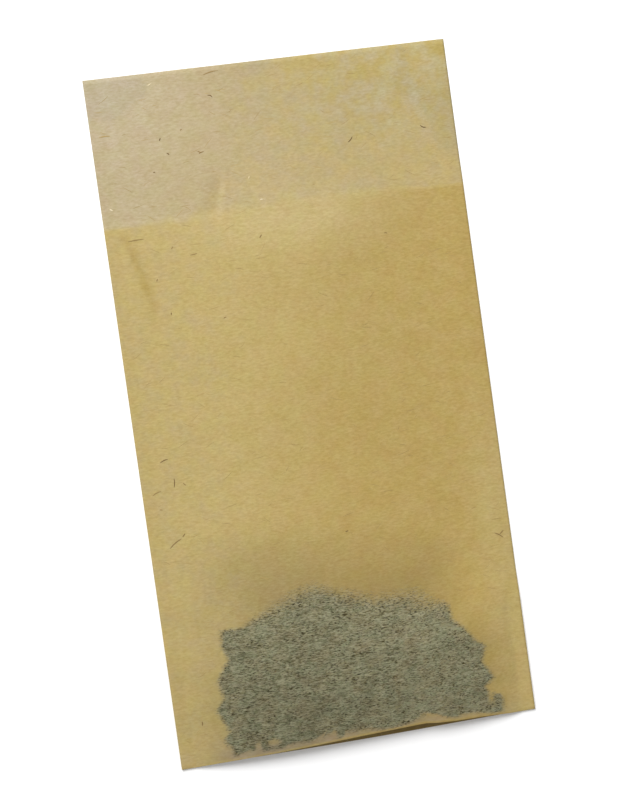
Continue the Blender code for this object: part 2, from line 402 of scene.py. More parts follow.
def lay(panel, value, x):
    """y and z of a row of the blank at the places x across it."""
    foot, apex = np.full_like(x, FOOT_Y + BEND), np.full_like(x, APEX_Y - BEND)
    if panel in ("long panel", "upper leaf"):
        y = np.full_like(x, value)
        return drawn(x, y), top_z(x, y) if panel == "long panel" else leaf_z(x, y)
    if panel == "foot fold":
        y, z = around(value, foot, -1, top_z(x, foot), leaf_z(x, foot))
        return y + foot_draw(x), z
    if panel == "inner fold":
        return around(value, apex, 1, leaf_z(x, apex), LOWER_LEAF_Z)
    if panel == "back fold":
        y, z = around(value, foot, -1, LOWER_LEAF_Z, SHORT_PANEL_Z)
        return y - foot_bow(x, y), z
    y = np.full_like(x, value)
    return y - foot_bow(x, y), np.full_like(x, LOWER_LEAF_Z if panel == "lower leaf" else SHORT_PANEL_Z)


print(f"the lower leaf lies {LOWER_LEAF_Z / MM:.2f} mm up")

# %% Lay each row where the folding puts it
clear_selection()
bpy.ops.mesh.primitive_grid_add(x_subdivisions=CELLS_ACROSS, y_subdivisions=len(rows) - 1, size=1)
sheet = newly_added("folded_sheet")

flat = read_vertices(sheet)
column = np.rint((flat[:, 0] + 0.5) * CELLS_ACROSS).astype(int)
row_of = np.rint((0.5 - flat[:, 1]) * (len(rows) - 1)).astype(int)
across = np.linspace(-HALF_WIDTH, HALF_WIDTH, CELLS_ACROSS + 1)
folded = np.empty_like(flat)
for index, (panel, value) in enumerate(rows):
    here = row_of == index
    x = across[column[here]]
    y, z = lay(panel, value, x)
    folded[here] = np.stack(np.broadcast_arrays(x, y, z), axis=1)
place_vertices(sheet, folded)
print("sheet lies from", folded.min(0).round(5), "to", folded.max(0).round(5))

# %% [markdown]
# ## What the paper tells its material
# The colour of this paper runs along one line, from a pale lilac cream to a full yellow brown. How far
# along it a place is depends on what lies behind: pale where one sheet lies on the table, at the free
# end of the flap most of all, and warm where two sheets lie on each other, more so to the right. Near
# the mouth's edges the change is sharp, and in the middle, where the long panel stands off the short
# one, it is drawn out. The upper right corner is cloudy, and the middle of the flap, which stands off
# the table and gets less light back through it, is painted a little darker and cooler as shade. Where
# the paper touches the tea, the tea shows through, but thin paper hides what lies a millimetre behind
# it. A painted map could hold all that, but formulas can be read and changed, so they store it on the
# vertices as numbers, mostly from 0 to 1.

# %% How much of it has another sheet behind it
panel_of = np.array([rows[i][0] for i in row_of])
is_long = panel_of == "long panel"
x, y = folded.T[:2]

off_edge = 1 - ease(22 * MM, 34 * MM, np.abs(x))
blur_start, blur_end = MOUTH_Y - (0.4 + 1.2 * off_edge) * MM, MOUTH_Y + (0.4 + 2.2 * off_edge) * MM
doubled = np.where(is_long, 1 - ease(blur_start, blur_end, y), 1.0)
print(f"{doubled.mean():.0%} of the sheet's places have another sheet behind them")

# %% Clouds, and how warm its colour is
flap_left = (1 - ease(MOUTH_Y, TOP_Y, y)) * (1 - ease(-30 * MM, 10 * MM, x))
low_middle = (1 - ease(-20 * MM, 30 * MM, y)) * lens_across(x)
low_right = (1 - ease(-30 * MM, 10 * MM, y)) * ease(28 * MM, 38 * MM, x)
flap_warmth = 0.12 + 0.48 * ease(-40 * MM, 12 * MM, x) + 0.17 * flap_left
flap_warmth = flap_warmth + 0.10 * ease(TOP_Y - 9 * MM, TOP_Y - 3 * MM, y) * ease(-6 * MM, 6 * MM, x)
body_warmth = 0.67 + 0.28 * ease(-28 * MM, 34 * MM, x) + 0.10 * low_middle - 0.22 * low_right
# Near the fold of the foot the colour is made cooler, and the same strip gets the painted shade of the foot
# below.
near_foot = (1 - ease(1.0 * MM, 4.0 * MM, y - FOOT_Y - foot_draw(x))) * full_across(x) * is_long
upper_right = ease(-12 * MM, 30 * MM, x) * ease(MOUTH_Y + 4 * MM, TOP_Y - 8 * MM, y)
facts = {"cloudy": (1 - doubled) * upper_right}
# Painted shade: the middle of the flap stands off the table, so less light comes back through it, and it is
# tinted a little darker there.
facts["lifted"] = (1 - doubled) * ease(-16 * MM, 6 * MM, x) * (1 - ease(16 * MM, 30 * MM, x))
flap_warmth = flap_warmth - 0.08 * facts["cloudy"]
facts["warmth"] = flap_warmth + (body_warmth - flap_warmth) * doubled - 0.4 * near_foot
print(f"mean warmth of the long panel {facts['warmth'][is_long].mean():.2f}")

# %% Painted highlight on the ridge, seams, and painted shade along creases and at the foot
# The ridge is a painted highlight: paler where the long panel lifts at the mouth and catches the light, along
# the mouth's left edge, and on the bright side of the flap crease.
below_mouth, off_middle = (y - MOUTH_Y + 3 * MM) / (5.5 * MM), (x - 3 * MM) / (19 * MM)
at_edge, left_part = (y - MOUTH_Y - 0.2 * MM) / (0.9 * MM), 1 - ease(-26 * MM, -12 * MM, x)
ridge = np.exp(-(below_mouth**2) - off_middle**2) + 0.6 * np.exp(-(at_edge**2)) * left_part
flap_crease, *slanting = [(start, end) for start, end, *_ in CREASES[:4]]
ridge = ridge + 0.3 * crease_profile(x - 0.9 * MM, y, *flap_crease, 0.8, 0.6)
facts["ridge"] = np.clip(ridge, 0, 1) * is_long
facts["seam"] = ease(CHAMBER_HALF - 0.4 * MM, CHAMBER_HALF + 0.5 * MM, np.abs(x))
# Painted shade along the creases: darker along the slanting creases, and broadly on the dark left side of the
# flap crease.
creased = 0.5 * sum(crease_profile(x, y, start, end, 1.1, 0.8) for start, end in slanting)
creased = creased + 0.28 * crease_profile(x, y, *flap_crease, 0.4, 3.0)
facts["creased"] = np.clip(creased, 0, 1) * is_long
# Painted shade at the foot: the lower folds of the gusset, under the raised fold, and the strip of the long
# panel just above the fold are tinted darker.
in_shade = 0.7 * np.isin(panel_of, ("lower leaf", "back fold"))
facts["at_foot"] = np.where(is_long, near_foot, in_shade)
print("creases that leave a mark:", 1 + len(slanting))

# %% Where it touches the tea
away, angle = from_tea_middle(x, y)
gap = away - tea_reach(angle)
towards_mouth, towards_foot = ease(0.3, 0.8, np.sin(angle)), ease(0.3, 0.8, -np.sin(angle))
towards_left = ease(0.3, 0.8, -np.cos(angle))
side_contact, head_contact = 1 - ease(-1.3 * MM, 1.5 * MM, gap), 1 - ease(-5.5 * MM, 2.6 * MM, gap)
contact = side_contact + (head_contact - side_contact) * towards_mouth
for bay_x, bay_y, half_width, half_height, strength in np.array(BAYS) * (MM, MM, MM, MM, 1):
    bay_x, bay_y = from_seen(bay_x, bay_y)
    nearness = np.exp(-(((x - bay_x) / half_width) ** 2) - ((y - bay_y) / half_height) ** 2)
    contact = contact * (1 - strength * nearness)
facts["contact"] = contact * is_long
print(f"the tea touches {facts['contact'][is_long].mean():.0%} of the long panel's places")

# %% The shade round the tea
dim_reach = (8 + 9 * towards_mouth + 8 * towards_left - 4 * towards_foot) * MM
dim_strength = 0.24 + 0.31 * towards_mouth + 0.14 * towards_left
facts["dimmed"] = np.where(is_long, (1 - ease(-MM, dim_reach, gap)) * dim_strength, in_shade)
print(f"the shade reaches {dim_reach.min() / MM:.0f} to {dim_reach.max() / MM:.0f} mm past the tea")


# %% Store all of it on the sheet
def write_attribute(piece, name, values):
    """Stores one number on each vertex, for the material to read."""
    layer = piece.data.attributes.new(name, "FLOAT", "POINT")
    layer.data.foreach_set("value", np.asarray(values, dtype=np.float32))


for name, values in facts.items():
    write_attribute(sheet, name, values)
    print(f"{name} from {values.min():.2f} to {values.max():.2f}")


# %% [markdown]
# ### Its thickness
# Filter paper is a tenth of a millimetre thick. A Solidify modifier gives the sheet that, half to each
# side, and closes its edges.

# %% Give the sheet its thickness
def apply_modifiers(piece):
    """Makes the piece's modifiers part of its mesh."""
    clear_selection()
    piece.select_set(True)
    bpy.context.view_layer.objects.active = piece
    for modifier in list(piece.modifiers):
        bpy.ops.object.modifier_apply(modifier=modifier.name)


thick = sheet.modifiers.new("paper thickness", "SOLIDIFY")
thick.thickness, thick.offset = PAPER, 0
apply_modifiers(sheet)
sheet.data.shade_smooth()
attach(sheet, "root")
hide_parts("filter_bag")
print("sheet:", len(sheet.data.polygons), "faces")

# %% [markdown]
# ## The bed of tea
# Under the paper the tea lies in a flat heap. Crumbs alone could fill it, but that takes far too many.
# So the heap itself starts as a ball, pressed between the gusset below and the paper above, with small
# lumps on top. Loose leaf is strewn over it afterwards and nearly hides it, but it keeps the light from
# coming through between the pieces.

# %% Between the gusset and the paper
TEA_CLEAR = 0.25 * MM
RIM = 0.25 * MM
BED_DEEPER = 0.12 * MM  # the bed lies this much below the crumbs


def tea_floor(x, y):
    """What the tea lies on: the upper leaf as far as the gusset goes, and then the short panel."""
    before = undrawn(x, y)
    past = ease(APEX_Y, APEX_Y + 3 * MM, before)
    return leaf_z(x, before) + (SHORT_PANEL_Z - leaf_z(x, before)) * past + PAPER / 2 + TEA_CLEAR


def tea_top(x, y):
    """Upper face of the tea, close under the paper and thinning out towards the rim."""
    roof = top_z(x, undrawn(x, y)) - PAPER / 2 - TEA_CLEAR
    full = np.sqrt(np.clip(1 - np.clip(tea_share(x, y), 0, 1) ** 6, 0, 1))
    floor = tea_floor(x, y)
    return floor + np.maximum(roof - floor, RIM) * full


room = tea_top(*TEA_MIDDLE[:, None]) - tea_floor(*TEA_MIDDLE[:, None])
print(f"room for the tea in the middle {room[0] / MM:.2f} mm")

# %% Tea bed
clear_selection()
bpy.ops.mesh.primitive_uv_sphere_add(segments=192, ring_count=64, radius=1)
bed = newly_added("tea_bed")
ball = read_vertices(bed)
angle = np.arctan2(ball[:, 1], ball[:, 0])
away = np.clip(np.hypot(ball[:, 0], ball[:, 1]), 0, 0.995) * tea_reach(angle)
x, y = TEA_MIDDLE[0] + away * np.cos(angle), TEA_MIDDLE[1] + away * np.sin(angle)
low, high = tea_floor(x, y), tea_top(x, y) - BED_DEEPER
middle = low + (high - low) * 0.5
z = np.where(np.abs(ball[:, 2]) < 1e-6, middle, np.where(ball[:, 2] > 0, np.maximum(high, middle), low))
place_vertices(bed, np.column_stack([x, y, z]))
bed.data.shade_smooth()
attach(bed, "root")
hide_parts("tea_leaves")
print("tea bed:", len(bed.data.polygons), "faces")

# %% [markdown]
# ## Loose leaf
# Fine tea is broken leaf, mostly half a millimetre to a millimetre long, with a few pale bits of
# stalk. Thousands take long to drop in a simulation, and the paper hides how they lie. So one crumb is
# modelled: a ball of twenty faces. An Array modifier makes thousands of it, all in one place, and then
# each is pressed flat, knocked out of shape, turned and strewn over the bed at random, with a fixed
# seed. A number on each crumb gives the material its tone.

# %% Many crumbs in one place
CRUMB_COUNT = 9000
random = np.random.default_rng(7)


def multiplied(piece, count):
    """Turns a piece into a number of copies of itself, one after another in one mesh."""
    array = piece.modifiers.new("copies", "ARRAY")
    array.count = count
    array.use_relative_offset = False
    apply_modifiers(piece)
    return read_vertices(piece).reshape(count, -1, 3)


clear_selection()
bpy.ops.mesh.primitive_ico_sphere_add(subdivisions=1, radius=0.5)
leaf = newly_added("loose_leaf")
crumbs = multiplied(leaf, CRUMB_COUNT)
print("crumbs:", crumbs.shape)


# %% Places and turns for the crumbs
RAGGED_EDGE = (0.975, 1.02)  # where the strewing ends, as a share of the way to the outline


def strewn_places(count):
    """Places inside the tea's outline, more ragged towards its edge."""
    kept = []
    while len(kept) < count:
        x = random.uniform(edge_x.min() - MM, edge_x.max() + MM)
        y = random.uniform(edge_y.min() - MM, edge_y.max() + MM)
        if tea_share(x, y) < random.uniform(*RAGGED_EDGE):
            kept.append((x, y))
    return np.array(kept).T


def turned(points, first, second, angle):
    """Points turned in the plane of two axes, by one angle for each crumb."""
    a, b = points[..., first].copy(), points[..., second].copy()
    cosine, sine = np.cos(angle)[:, None], np.sin(angle)[:, None]
    points[..., first], points[..., second] = a * cosine - b * sine, a * sine + b * cosine


print("strewn from the middle to", RAGGED_EDGE, "of the way out")

# %% Press, turn and strew them
LENGTHS_MM, WIDTHS, THICKNESS = (0.4, 1.0), (0.35, 0.7), 0.16 * MM  # widths as a share of the length
KNOCKED, TILT = (0.7, 1.3), 0.14  # how far out of shape, and how far from lying flat, in radians
SCATTER_MM, UNDER_PAPER = 0.10, 0.20 * MM

long_side = random.uniform(*LENGTHS_MM, CRUMB_COUNT) * MM
short_side = random.uniform(*WIDTHS, CRUMB_COUNT) * long_side
sides = np.column_stack([long_side, short_side, np.full(CRUMB_COUNT, THICKNESS)])
crumbs = crumbs * random.uniform(*KNOCKED, crumbs.shape) * sides[:, None, :]
turned(crumbs, 0, 2, random.normal(0, TILT, CRUMB_COUNT))
turned(crumbs, 1, 2, random.normal(0, TILT, CRUMB_COUNT))
turned(crumbs, 0, 1, random.uniform(0, 2 * math.pi, CRUMB_COUNT))

x, y = strewn_places(CRUMB_COUNT)
under_paper = top_z(x, undrawn(x, y)) - UNDER_PAPER
scatter = random.uniform(-SCATTER_MM, SCATTER_MM, CRUMB_COUNT) * MM
height = np.minimum(tea_top(x, y) + scatter, under_paper)
crumbs += np.column_stack([x, y, height])[:, None, :]
place_vertices(leaf, crumbs)
write_attribute(leaf, "tone", np.repeat(random.uniform(0, 1, CRUMB_COUNT), crumbs.shape[1]))
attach(leaf, "root")
print("loose leaf:", len(leaf.data.polygons), "faces")

# %% [markdown]
# ## Shives
# Unbleached pulp holds shives: specks and hairs of bark that the cooking left dark or yellow, and now
# and then a pale knot of fibre. Thirty shives and four knots are big enough to be put where they show
# on the real bag, and hundreds of fainter hairs are strewn between them. A speckled texture could draw
# them, but as pieces they stay sharp close up. Each is a thin sliver that lies in the surface of the
# paper, bent along its length. It starts as a ball of few faces, multiplied like the crumbs, and is
# drawn out to a sliver.

# %% Where the shives and knots lie
SHIVES = [  # place in mm, length in mm, turn in degrees, bend in mm, tone: 0 dark, 1 yellow, 2 pale
    (-13.2, 68.9, 1.2, -30, 0.25, 0.1), (-25.3, 61.0, 0.7, 60, 0.0, 0.0), (-24.0, 57.6, 0.7, -40, 0.1, 0.0),
    (-16.8, 57.0, 1.2, 15, 0.1, 0.3), (16.0, 55.9, 1.7, 45, -0.15, 0.0), (32.8, 56.9, 1.5, -25, -0.2, 0.0),
    (-27.5, 54.1, 0.5, 0, 0.0, 0.2), (-6.7, 37.3, 0.9, 50, 0.0, 0.3), (-28.2, 23.3, 0.6, 80, 0.0, 0.2),
    (-16.8, 20.9, 0.7, 20, 0.0, 0.4), (-34.3, -8.2, 2.0, 18, 0.15, 0.2), (-32.8, -13.2, 2.1, 83, -0.1, 0.15),
    (-30.6, -13.8, 0.9, -50, 0.0, 0.5), (-36.4, -18.6, 0.7, -15, 0.0, 0.6), (-36.8, -15.0, 2.2, 20, 0.2, 0.5),
    (-34.3, -26.4, 3.4, 33, 0.2, 0.3), (-32.3, -24.8, 1.0, 45, 0.0, 0.3), (-33.5, 40.0, 3.6, 2, 0.1, 0.4),
    (-30.2, 30.9, 0.6, 60, 0.0, 0.4), (-26.0, 37.4, 0.7, 60, 0.0, 0.5), (-21.6, 35.4, 1.6, 5, 0.0, 0.5),
    (-12.3, 74.0, 3.6, 10, 0.2, 0.5), (-37.0, 63.0, 2.5, 0, 0.1, 0.8), (-17.2, 57.2, 1.0, -35, 0.0, 0.4),
    (3.2, -29.3, 0.7, 10, 0.0, 0.2), (37.2, -35.6, 2.4, -35, 0.15, 0.3), (37.9, -35.0, 1.3, 40, 0.0, 0.4),
    (-34.2, -66.0, 1.0, 85, 0.0, 0.2), (21.0, 34.5, 0.8, -15, 0.1, 0.4), (-20.5, 62.5, 0.5, 30, 0.0, 0.4),
    (-37.8, 47.2, 0.8, -35, 0.0, 2.0), (-25.9, 73.0, 0.9, 25, 0.0, 1.8), (-5.4, 45.2, 0.6, 0, 0.0, 1.9),
    (-7.4, 50.3, 0.6, 60, 0.0, 1.6),
]
print("shives and knots:", len(SHIVES))


# %% Slivers in the surface of the paper
def face_outwards(piece):
    """Turns all faces of a closed piece outwards."""
    clear_selection()
    piece.select_set(True)
    bpy.context.view_layer.objects.active = piece
    bpy.ops.object.mode_set(mode="EDIT")
    bpy.ops.mesh.select_all(action="SELECT")
    bpy.ops.mesh.normals_make_consistent(inside=False)
    bpy.ops.object.mode_set(mode="OBJECT")


def slivers(name, listed, radius):
    """One mesh of slivers in the surface of the long panel, each from a row of six numbers."""
    clear_selection()
    bpy.ops.mesh.primitive_uv_sphere_add(segments=6, ring_count=8, radius=1)
    piece = newly_added(name)
    balls = multiplied(piece, len(listed))
    x_mm, y_mm, length_mm, turn, bend_mm, tone = np.array(listed).T[:, :, None]
    turn = np.radians(turn)
    along = balls[..., 2] * length_mm * MM / 2
    aside = balls[..., 0] * radius + bend_mm * MM * np.cos(balls[..., 2] * math.pi / 2)
    x = x_mm * MM + along * np.cos(turn) - aside * np.sin(turn)
    y = y_mm * MM + along * np.sin(turn) + aside * np.cos(turn)
    z = top_z(x, undrawn(x, y)) + PAPER / 2 + 0.35 * radius * balls[..., 1]
    place_vertices(piece, np.stack([x, y, z], axis=-1))
    face_outwards(piece)
    write_attribute(piece, "tone", np.broadcast_to(tone, x.shape).ravel())
    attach(piece, "root")
    print(name, len(listed), "with", len(piece.data.polygons), "faces")
    return piece


SHIVE_RADIUS = 0.13 * MM
shives = slivers("shives", SHIVES, SHIVE_RADIUS)

# %% Hairs all over the long panel
HAIR_COUNT, HAIR_RADIUS = 380, 0.05 * MM
FIELD_ACROSS, FIELD_ALONG = (-38, 38), (-73, 74)  # in mm
PAST_TEA = 1.12  # none nearer to the tea than this share of the way to its outline

hair_x, hair_y = random.uniform(*FIELD_ACROSS, HAIR_COUNT), random.uniform(*FIELD_ALONG, HAIR_COUNT)
clear_of_tea = tea_share(hair_x * MM, hair_y * MM) > PAST_TEA
hairs = slivers("hairs", np.column_stack([
    hair_x, hair_y, random.uniform(0.8, 3.0, HAIR_COUNT), random.normal(0, 24, HAIR_COUNT),
    random.uniform(-0.2, 0.2, HAIR_COUNT), random.uniform(0.55, 1.0, HAIR_COUNT),
])[clear_of_tea], HAIR_RADIUS)

# %% [markdown]
# ## Materials
# Colours are given as on a screen, in hex, and turned to the linear values that the shader works in.
# One small function adds a node with its settings, the stops of its ramp and its links. Its inputs go
# by name, or by number as in _0 where several have the same name.

# %% Colours
def linear(hex_colour):
    """A screen colour such as "c8b482" as linear red, green, blue and alpha."""
    channels = [int(hex_colour[i:i + 2], 16) / 255 for i in (0, 2, 4)]
    return (*[c / 12.92 if c <= 0.04045 else ((c + 0.055) / 1.055) ** 2.4 for c in channels], 1.0)


print("a mid grey is", round(linear("808080")[0], 3), "in linear light")


# %% Nodes
def add(tree, kind, settings=None, stops=(), **inputs):
    """Adds a node. Each input is a value or another node's output."""
    node = tree.nodes.new(kind)
    for key, value in (settings or {}).items():
        setattr(node, key, value)
    for i, (position, hex_colour) in enumerate(stops):
        element = node.color_ramp.elements[i] if i < 2 else node.color_ramp.elements.new(position)
        element.position, element.color = position, linear(hex_colour)
    for key, value in inputs.items():
        socket = node.inputs[int(key[1:])] if key[0] == "_" else node.inputs[key.replace("_", " ")]
        if isinstance(value, bpy.types.NodeSocket):
            tree.links.new(value, socket)
        else:
            socket.default_value = value
    return node


def blank_material(name):
    """A material with nothing in it yet."""
    material = bpy.data.materials.new(name)
    material.use_nodes = True
    material.node_tree.nodes.clear()
    return material, material.node_tree


TIMES, PLUS, LESS = {"operation": "MULTIPLY"}, {"operation": "ADD"}, {"operation": "SUBTRACT"}
GREATER = {"operation": "MAXIMUM"}
BLEND = {"data_type": "RGBA", "blend_type": "MIX"}
TINT = {"data_type": "RGBA", "blend_type": "MULTIPLY"}
SCREEN = {"data_type": "RGBA", "blend_type": "SCREEN"}
print("pieces that wait for a material:", [piece.name for piece in (sheet, bed, leaf, shives, hairs)])

# %% [markdown]
# ### Unbleached filter paper
# Filter paper is a loose felt of long fibres with no filler, made on a moving wire, so the fibres lie
# mostly one way: here across the bag. Held against the light it looks cloudy, because the fibres
# flock together. It has no gloss. Fibres and flocks are stretched noise at their real sizes, for a
# fibre is far too fine to be modelled. Single fibres, 0.02 mm thick, would not show, so they are drawn
# as streaks 0.4 mm wide.

# %% Streaks and flocks of fibre
PER_MM = 1000  # object coordinates are in metres, and patterns are given in millimetres


def fibres(tree, place, length_mm, width_mm, degrees=0, detail=2.0):
    """Streaks of fibre that lie one way, or flocks where length and width are the same, from 0 to 1."""
    laid = add(
        tree, "ShaderNodeMapping", Vector=place, Location=(degrees, degrees, 0),
        Rotation=(0, 0, math.radians(degrees)),
        Scale=(PER_MM / length_mm, PER_MM / width_mm, PER_MM / length_mm),
    ).outputs[0]
    return add(tree, "ShaderNodeTexNoise", Vector=laid, Scale=1.0, Detail=detail, Roughness=0.6).outputs[0]


paper, tree = blank_material("unbleached_filter_paper")
place = add(tree, "ShaderNodeTexCoord").outputs["Object"]
flocks = fibres(tree, place, 3.8, 3.8, 0, 3.0)
flecks = fibres(tree, place, 4.0, 4.0, 90, 1.0)
felt = add(
    tree, "ShaderNodeMath", PLUS, _0=fibres(tree, place, 1.5, 0.40, 3, 3.0),
    _1=add(
        tree, "ShaderNodeMath", PLUS, _0=fibres(tree, place, 0.9, 0.38, -38, 3.0),
        _1=fibres(tree, place, 0.9, 0.38, 44, 3.0),
    ).outputs[0],
).outputs[0]
print("patterns use", len(tree.nodes), "nodes")

# %% [markdown]
# The base colour comes from the warmth stored on the sheet, swung by the flocks in the cloudy corner
# most of all. The ridge at the mouth gets a painted highlight, and the corner's thin flocks are paler. After
# that one thing after another tints it: faint green and lilac flecks, thick flocks, seams, painted shade on
# the lifted middle of the flap and along the creases, the painted shade of the tea and of the foot, and
# last the gaps of the felt.

# %% Filter paper: its colour
PAPER_STOPS = ((0.0, "d9ceb7"), (1.0, "cfb670"), (0.45, "cdbe97"), (0.7, "d6c386"))
stored = {name: add(tree, "ShaderNodeAttribute", {"attribute_name": name}).outputs["Fac"] for name in facts}

swing = add(tree, "ShaderNodeMapRange", Value=stored["cloudy"], _3=0.42, _4=0.80).outputs[0]
off_middle = add(tree, "ShaderNodeMath", LESS, _0=flocks, _1=0.5).outputs[0]
change = add(tree, "ShaderNodeMath", TIMES, _0=off_middle, _1=swing).outputs[0]
warmth = add(tree, "ShaderNodeMath", PLUS, _0=stored["warmth"], _1=change).outputs[0]
colour = add(tree, "ShaderNodeValToRGB", stops=PAPER_STOPS, Fac=warmth).outputs[0]
# Painted highlight: the ridge is mixed towards a pale colour where the paper catches the light.
ridge = add(tree, "ShaderNodeMath", TIMES, _0=stored["ridge"], _1=0.3).outputs[0]
colour = add(tree, "ShaderNodeMix", BLEND, _0=ridge, _6=colour, _7=linear("efe6bf")).outputs[2]
thin_flocks = add(tree, "ShaderNodeMapRange", Value=flocks, _1=0.57, _2=0.36, _4=0.24).outputs[0]
pale = add(tree, "ShaderNodeMath", TIMES, _0=stored["cloudy"], _1=thin_flocks).outputs[0]
colour = add(tree, "ShaderNodeMix", BLEND, _0=pale, _6=colour, _7=linear("dfdfb6")).outputs[2]
print("filter paper from", PAPER_STOPS[0][1], "to", PAPER_STOPS[1][1])

# %% Filter paper: its tints
thick_flocks = add(tree, "ShaderNodeMapRange", Value=flocks, _1=0.38, _2=0.66).outputs[0]
tints = [
    (add(tree, "ShaderNodeMapRange", Value=flecks, _1=0.35, _2=0.65).outputs[0], "fdfff8"),
    (add(tree, "ShaderNodeMapRange", Value=flecks, _1=0.65, _2=0.35).outputs[0], "fffdff"),
    (add(tree, "ShaderNodeMath", TIMES, _0=stored["cloudy"], _1=thick_flocks).outputs[0], "f8f9ef"),
    (add(tree, "ShaderNodeMath", TIMES, _0=stored["seam"], _1=0.08).outputs[0], "e6d9b8"),
    # painted shade of the lifted middle of the flap
    (stored["lifted"], "fafbff"),
    # painted shade along the creases
    (stored["creased"], "ede2c2"),
    (stored["dimmed"], "b8b5b7"),
    # painted shade at the foot
    (stored["at_foot"], "eeeaeb"),
    (add(tree, "ShaderNodeMapRange", Value=felt, _1=1.8, _2=1.2).outputs[0], "eee9de"),
]
for share, hex_colour in tints:
    colour = add(tree, "ShaderNodeMix", TINT, _0=share, _6=colour, _7=linear(hex_colour)).outputs[2]
print("tints:", len(tints))

# %% [markdown]
# Over tea the paper looks grey-green, for the fibres scatter some light back, and dark leaf shows
# sharply wherever a pore lies over it. A clear paper over real crumbs alone would look sharper than
# this felt is, so the pores are drawn too: the dark ends of one layer of fibres, deeper in some patches
# than in others. They also make the edge of the contact ragged.

# %% Filter paper: pores, and where it touches the tea
pores = fibres(tree, place, 0.60, 0.22, 8, 1.5)
raggedness = add(tree, "ShaderNodeMapRange", Value=pores, _3=0.45, _4=-0.45).outputs[0]
ragged = add(tree, "ShaderNodeMath", PLUS, _0=stored["contact"], _1=raggedness).outputs[0]
ragged = add(tree, "ShaderNodeMapRange", Value=ragged, _1=0.1, _2=0.8).outputs[0]
patches = fibres(tree, place, 3.4, 2.2, 15)
gathered = add(tree, "ShaderNodeMapRange", Value=patches, _1=0.40, _2=0.62, _3=0.45).outputs[0]
near_contact = add(tree, "ShaderNodeMapRange", Value=stored["contact"], _2=0.2).outputs[0]
contact = add(tree, "ShaderNodeMath", TIMES, _0=ragged, _1=near_contact).outputs[0]
stands_off = add(tree, "ShaderNodeMapRange", Value=contact, _1=1.0, _2=0.4).outputs[0]
print("with the pores it is", len(tree.nodes), "nodes")

# %% [markdown]
# The colour over tea is built the same way as the paper's, from patches of greener and browner leaf,
# darker to the left. Pale hairs lie over all of it, and where the paper stands off it is painted darker
# and greyer, as shade in the gap beneath. Then it is laid over the paper's own colour by the contact.

# %% Filter paper: its colour over the tea
hairs_over = add(
    tree, "ShaderNodeMath", GREATER, _0=fibres(tree, place, 1.5, 0.19, 8, 1.0),
    _1=add(
        tree, "ShaderNodeMath", GREATER, _0=fibres(tree, place, 1.1, 0.18, -22, 1.0),
        _1=fibres(tree, place, 1.1, 0.18, 36, 1.0),
    ).outputs[0],
).outputs[0]
hairs_over = add(tree, "ShaderNodeMapRange", Value=hairs_over, _1=0.53, _2=0.68).outputs[0]
leaf_patches = fibres(tree, place, 2.8, 2.8)
cool_or_warm = add(tree, "ShaderNodeMapRange", Value=leaf_patches, _1=0.40, _2=0.60).outputs[0]
over_tea = add(
    tree, "ShaderNodeMix", BLEND, _0=cool_or_warm, _6=linear("b2b794"), _7=linear("b9b58f"),
).outputs[2]
wide_patches, leaf_rows = fibres(tree, place, 4.0, 4.0, 30), fibres(tree, place, 2.2, 0.7, 8)
brown_patches = fibres(tree, place, 3.0, 1.8, 60)
across_bag = add(tree, "ShaderNodeSeparateXYZ", Vector=place).outputs[0]
deep_pores = add(tree, "ShaderNodeMapRange", Value=pores, _1=0.52, _2=0.36).outputs[0]
tea_tints = [
    (add(tree, "ShaderNodeMapRange", Value=wide_patches, _1=0.65, _2=0.35).outputs[0], "e4e4e0"),
    (add(tree, "ShaderNodeMapRange", Value=leaf_rows, _1=0.65, _2=0.35).outputs[0], "dedcd6"),
    (add(tree, "ShaderNodeMapRange", Value=brown_patches, _1=0.48, _2=0.66).outputs[0], "f5eeed"),
    (add(tree, "ShaderNodeMapRange", Value=across_bag, _1=20 * MM, _2=-10 * MM).outputs[0], "e4e5e2"),
    (add(tree, "ShaderNodeMath", TIMES, _0=deep_pores, _1=gathered).outputs[0], "5b552d"),
    # painted shade where the paper stands off the tea
    (stands_off, "a59c8c"),
]
for share, hex_colour in tea_tints:
    over_tea = add(tree, "ShaderNodeMix", TINT, _0=share, _6=over_tea, _7=linear(hex_colour)).outputs[2]
over_tea = add(tree, "ShaderNodeMix", SCREEN, _0=hairs_over, _6=over_tea, _7=linear("999682")).outputs[2]
colour = add(tree, "ShaderNodeMix", BLEND, _0=contact, _6=colour, _7=over_tea).outputs[2]
print("tints over tea:", len(tea_tints))

# %% [markdown]
# Some light goes straight through the felt between its fibres, most of it at the pores. So the shader
# mixes three: dull paper, paper lit from behind, and a clear one that lets the tea show. Subsurface
# scattering could do the second, but it needs a body thicker than a tenth of a millimetre. Near the
# edge of the contact the clear share dips, because there the paper stands off and blurs what is behind.

# %% Filter paper: how light goes through it
relief = add(tree, "ShaderNodeBump", Strength=0.35, Distance=0.06 * MM, Height=felt)
dull = add(tree, "ShaderNodeBsdfPrincipled", Base_Color=colour, Roughness=0.92, Normal=relief.outputs[0])
behind = add(tree, "ShaderNodeBsdfTranslucent", Color=colour)
scatter = add(tree, "ShaderNodeMixShader", _0=0.25, _1=dull.outputs[0], _2=behind.outputs[0])
clear = add(tree, "ShaderNodeBsdfTransparent", Color=linear("f4ead0"))

